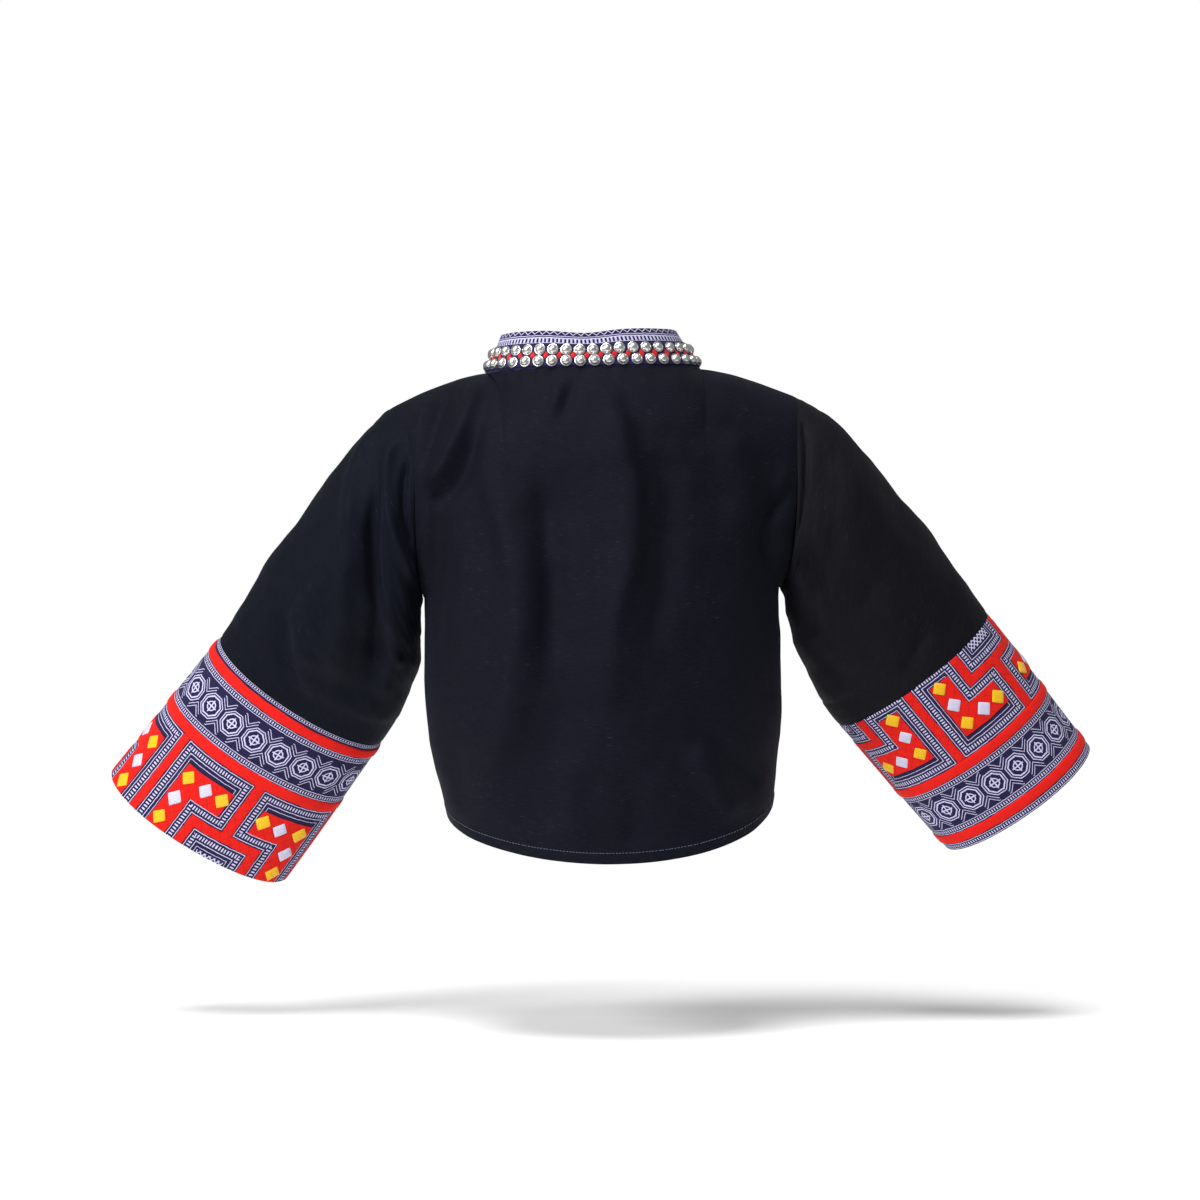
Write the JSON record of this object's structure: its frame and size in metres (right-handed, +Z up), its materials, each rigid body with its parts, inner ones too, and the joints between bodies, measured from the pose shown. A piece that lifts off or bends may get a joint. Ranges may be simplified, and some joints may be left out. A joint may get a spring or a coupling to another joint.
{
  "type": "hmong embroidered jacket",
  "caption": "Cropped black linen jacket in its worn form, hollow, with a silver-studded batik stand collar and wide sleeves ending in deep batik cuffs with red trim.",
  "frame": {"origin": "middle of the neck opening at the collar seam, where a wearer's neck holds the jacket", "axes": "+Z is up along the wearer's spine, the wearer faces -Y, and the wearer's left is +X"},
  "size_m": [0.907, 0.2717, 0.5042],
  "materials": {
    "back_linen": "matte black linen",
    "left_front_linen": "matte black linen",
    "right_front_linen": "matte black linen",
    "band_batik": "matte indigo batik cotton",
    "collar_batik": "matte indigo batik cotton",
    "tape_navy": "matte navy tape with red diamonds",
    "stud_silver_lower": "polished silver domes",
    "stud_silver_upper": "polished silver domes",
    "sleeve_linen_left": "matte black linen",
    "sleeve_linen_right": "matte black linen",
    "cuff_batik_left": "matte indigo batik cotton",
    "cuff_batik_right": "matte indigo batik cotton",
    "strip_red_left_upper": "matte red cotton strip",
    "strip_red_left_lower": "matte red cotton strip",
    "strip_red_right_upper": "matte red cotton strip",
    "strip_red_right_lower": "matte red cotton strip"
  },
  "bodies": {
    "root": {"back": "back_linen", "left_front": "left_front_linen", "right_front": "right_front_linen", "front_band": "band_batik", "collar": "collar_batik", "stud_tape": "tape_navy", "stud_row_lower": "stud_silver_lower", "stud_row_upper": "stud_silver_upper", "sleeve_left": "sleeve_linen_left", "sleeve_right": "sleeve_linen_right", "cuff_left": "cuff_batik_left", "cuff_right": "cuff_batik_right", "strip_left_upper": "strip_red_left_upper", "strip_left_lower": "strip_red_left_lower", "strip_right_upper": "strip_red_right_upper", "strip_right_lower": "strip_red_right_lower"}
  },
  "joints": []
}
